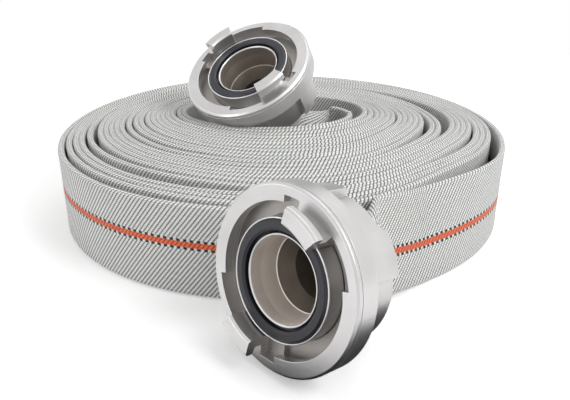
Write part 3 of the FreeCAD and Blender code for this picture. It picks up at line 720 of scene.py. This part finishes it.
def aluminium(name, side, skins_and_painted_bores):
    """Turned metal; each zone, of forging skin or of painted light and shade in the bores, lies
    between two depths and inside a radius, dark to light.
    """
    material, tree = new_material(name)
    spot, depth, radius = on_coupling(tree, side)
    rings = add(tree, "CombineXYZ", radius, depth)
    marks = add(tree, "TexNoise", Vector=rings, Scale=1 / SCRATCH, Detail=2.0, Roughness=0.7)
    cloud = add(tree, "TexNoise", Vector=spot, Scale=CLOUD_SCALE, Detail=5.0)
    grain = add(tree, "TexNoise", Vector=spot, Scale=GRAIN_SCALE, Detail=2.0)

    # a corner is where a rounded normal differs from the face's own
    rounded = add(tree, "Bevel", samples=4, Radius=EDGE)
    face = add(tree, "NewGeometry").outputs["Normal"]
    same = add(tree, "VectorMath", rounded, face, operation="DOT_PRODUCT")
    corner = add(tree, "MapRange", same, From_Min=CORNER_STARTS, From_Max=CORNER_FULL)

    tone = add(tree, "Mix", cloud, linear(TURNED_DARK), linear(TURNED_LIGHT), data_type="RGBA")
    skinned = 0.0
    for start, stop, within, dark, light in skins_and_painted_bores:
        below = add(tree, "Math", depth, start, operation="GREATER_THAN")
        above = add(tree, "Math", depth, stop, operation="LESS_THAN")
        inside = add(tree, "Math", radius, within, operation="LESS_THAN")
        here = add(tree, "Math", below, above, operation="MULTIPLY")
        here = add(tree, "Math", here, inside, operation="MULTIPLY")
        skin = add(tree, "Mix", cloud, linear(dark), linear(light), data_type="RGBA")
        # in the bores these zones are painted light and painted shade
        tone = add(tree, "Mix", here, tone, skin, data_type="RGBA")
        skinned = add(tree, "Math", skinned, here, operation="ADD")
    # painted highlight: the corners are painted bright
    tone = add(tree, "Mix", corner, tone, linear(PAINTED_EDGE_HIGHLIGHT), data_type="RGBA")

    marked = add(tree, "Math", marks, MARKS_ROUGHER, operation="MULTIPLY")
    turned_rough = add(tree, "Math", SMOOTHEST, marked, operation="ADD")
    skin_rough = add(tree, "Math", skinned, SKIN_ROUGHER, operation="MULTIPLY")
    rough = add(tree, "Math", turned_rough, skin_rough, operation="ADD")
    grooves = add(tree, "Math", marks, GROOVES, operation="MULTIPLY")
    grainy = add(tree, "Math", GRAIN_TURNED, skinned, operation="ADD")
    grit = add(tree, "Math", grain, grainy, operation="MULTIPLY")
    relief = add(tree, "Math", grooves, grit, operation="ADD")
    bump = add(tree, "Bump", Strength=0.5, Distance=RELIEF, Height=relief, Normal=rounded)
    metal = add(tree, "BsdfPrincipled", Base_Color=tone, Metallic=1.0, Roughness=rough,
                Normal=bump)
    add(tree, "OutputMaterial", Surface=metal)
    return material


# from depth, to depth, inside radius, dark and light colour
POCKET = (5.2 * MM, 13.2 * MM, 43.4 * MM, "#a39e9a", "#cecac6")
# the front bore is turned metal, its colour lifted near white: painted light for the light bounced
# into it
TURNED_BORE_PAINTED_LIGHT = (2.3 * MM, 19.8 * MM, 22.8 * MM, "#efe6dd", "#fbf7f2")
DULL_BORE = (2.3 * MM, 19.8 * MM, 22.8 * MM, "#8f857c", "#b5aca3")
# deep in both bores the colour is dark: painted shade inside the hollow
DEEP_BORE_PAINTED_SHADE = (19.8 * MM, 60.0 * MM, 22.0 * MM, "#5d5751", "#9b938a")
BORES = {"front": TURNED_BORE_PAINTED_LIGHT, "centre": DULL_BORE}

finishes = {}
for side, bore in BORES.items():
    finishes[side + "_lug_ring"] = aluminium(side + "_forged_ring", side, [POCKET])
    finishes[side + "_hose_tail"] = aluminium(side + "_forged_tail", side, [bore, DEEP_BORE_PAINTED_SHADE])
print(len(finishes), "aluminium finishes")

# %% [markdown]
# ## Steel, rubber and the cuff
# The retaining ring and the binding wire are bright spring steel, drawn through a die, so it is
# smooth.  The seals are moulded nitrile rubber, near black with a faint blue sheen.  The
# binding cuff is a blue-green rubber sleeve.

# %% Spring steel
STREAK_SCALE, STREAK_DEPTH = 700.0, 0.04 * MM
SHINIEST, DULLEST = 0.2, 0.42


def drawn_steel():
    material, tree = new_material("drawn_spring_steel")
    spot = add(tree, "TexCoord").outputs["Object"]
    streak = add(tree, "TexNoise", Vector=spot, Scale=STREAK_SCALE, Detail=3.0)
    tone = add(tree, "Mix", streak, linear("#8b8d90"), linear("#c3c5c8"), data_type="RGBA")
    rough = add(tree, "MapRange", streak, To_Min=SHINIEST, To_Max=DULLEST)
    bump = add(tree, "Bump", Strength=0.15, Distance=STREAK_DEPTH, Height=streak)
    steel = add(tree, "BsdfPrincipled", Base_Color=tone, Metallic=1.0, Roughness=rough,
                Normal=bump)
    add(tree, "OutputMaterial", Surface=steel)
    return material


finishes["retaining_ring"] = finishes["binding_wire"] = drawn_steel()
print("steel for the spring rings and the wire")

# %% Moulded rubber, for the seals and the cuffs
SMOOTHER, ROUGHER = 0.08, 0.1   # where the mould was polished, and where talc has dulled it
MOULD_SCALE, BLOOM_SCALE = 1100.0, 60.0     # per metre: the mould's grain, and the bloom
MOULD_DEPTH = 0.08 * MM


def moulded_rubber(name, dark, light, roughness):
    material, tree = new_material(name)
    spot = add(tree, "TexCoord").outputs["Object"]
    grain = add(tree, "TexNoise", Vector=spot, Scale=MOULD_SCALE, Detail=3.0)
    bloom = add(tree, "TexNoise", Vector=spot, Scale=BLOOM_SCALE, Detail=4.0)
    tone = add(tree, "Mix", bloom, linear(dark), linear(light), data_type="RGBA")
    rough = add(tree, "MapRange", bloom, To_Min=roughness - SMOOTHER,
                To_Max=roughness + ROUGHER)
    bump = add(tree, "Bump", Strength=0.25, Distance=MOULD_DEPTH, Height=grain)
    rubber = add(tree, "BsdfPrincipled", Base_Color=tone, Roughness=rough, Normal=bump)
    add(tree, "OutputMaterial", Surface=rubber)
    return material


finishes["seal"] = moulded_rubber("nitrile_seal", "#15151b", "#2a2a33", 0.4)
finishes["binding_cuff"] = moulded_rubber("cuff_rubber", "#3c6f7b", "#5a8f99", 0.52)
print("rubber for the seals and the cuffs")

# %% Every CAD piece gets its finish
for name, node in frame["nodes"].items():
    finish = finishes.get(name) or finishes.get(name.split("_", 1)[1])
    if finish:
        node.data.materials.clear()
        node.data.materials.append(finish)
        print(name, "is", finish.name)

# %% [markdown]
# ## Dark cards for the metal
# White surroundings alone make metal look like chalk.  Two dark cards that only mirror-like
# surfaces see give the front coupling its dark lower edges and the shade on its upper rim: they
# are painted reflections of shade.  The low card lies under the coupling, where the floor is in
# the coupling's shadow.

# %% Dark cards
CARDS = {
    "low_card": [(-0.035, -0.28, 0.001), (0.09, -0.28, 0.001), (0.11, -0.08, 0.001),
                 (-0.035, -0.08, 0.001)],
    "back_card": [(0.0, 0.45, 0.13), (0.22, 0.45, 0.13), (0.22, 0.45, 0.30), (0.0, 0.45, 0.30)],
}
# dark cards that only mirror-like surfaces see: painted reflections of shade
material, tree = new_material("painted_reflection_card")
dark_reflection = add(tree, "BsdfDiffuse", Color=linear("#26262b"))
add(tree, "OutputMaterial", Surface=dark_reflection)
for name, corners in CARDS.items():
    card_mesh = bpy.data.meshes.new(name)
    card_mesh.from_pydata(corners, [], [(0, 1, 2, 3)])
    card_mesh.materials.append(material)
    card = bpy.data.objects.new(name, card_mesh)
    bpy.context.scene.collection.objects.link(card)
    for ray in ("camera", "diffuse", "shadow", "transmission"):
        setattr(card, "visible_" + ray, False)
print(len(CARDS), "cards")
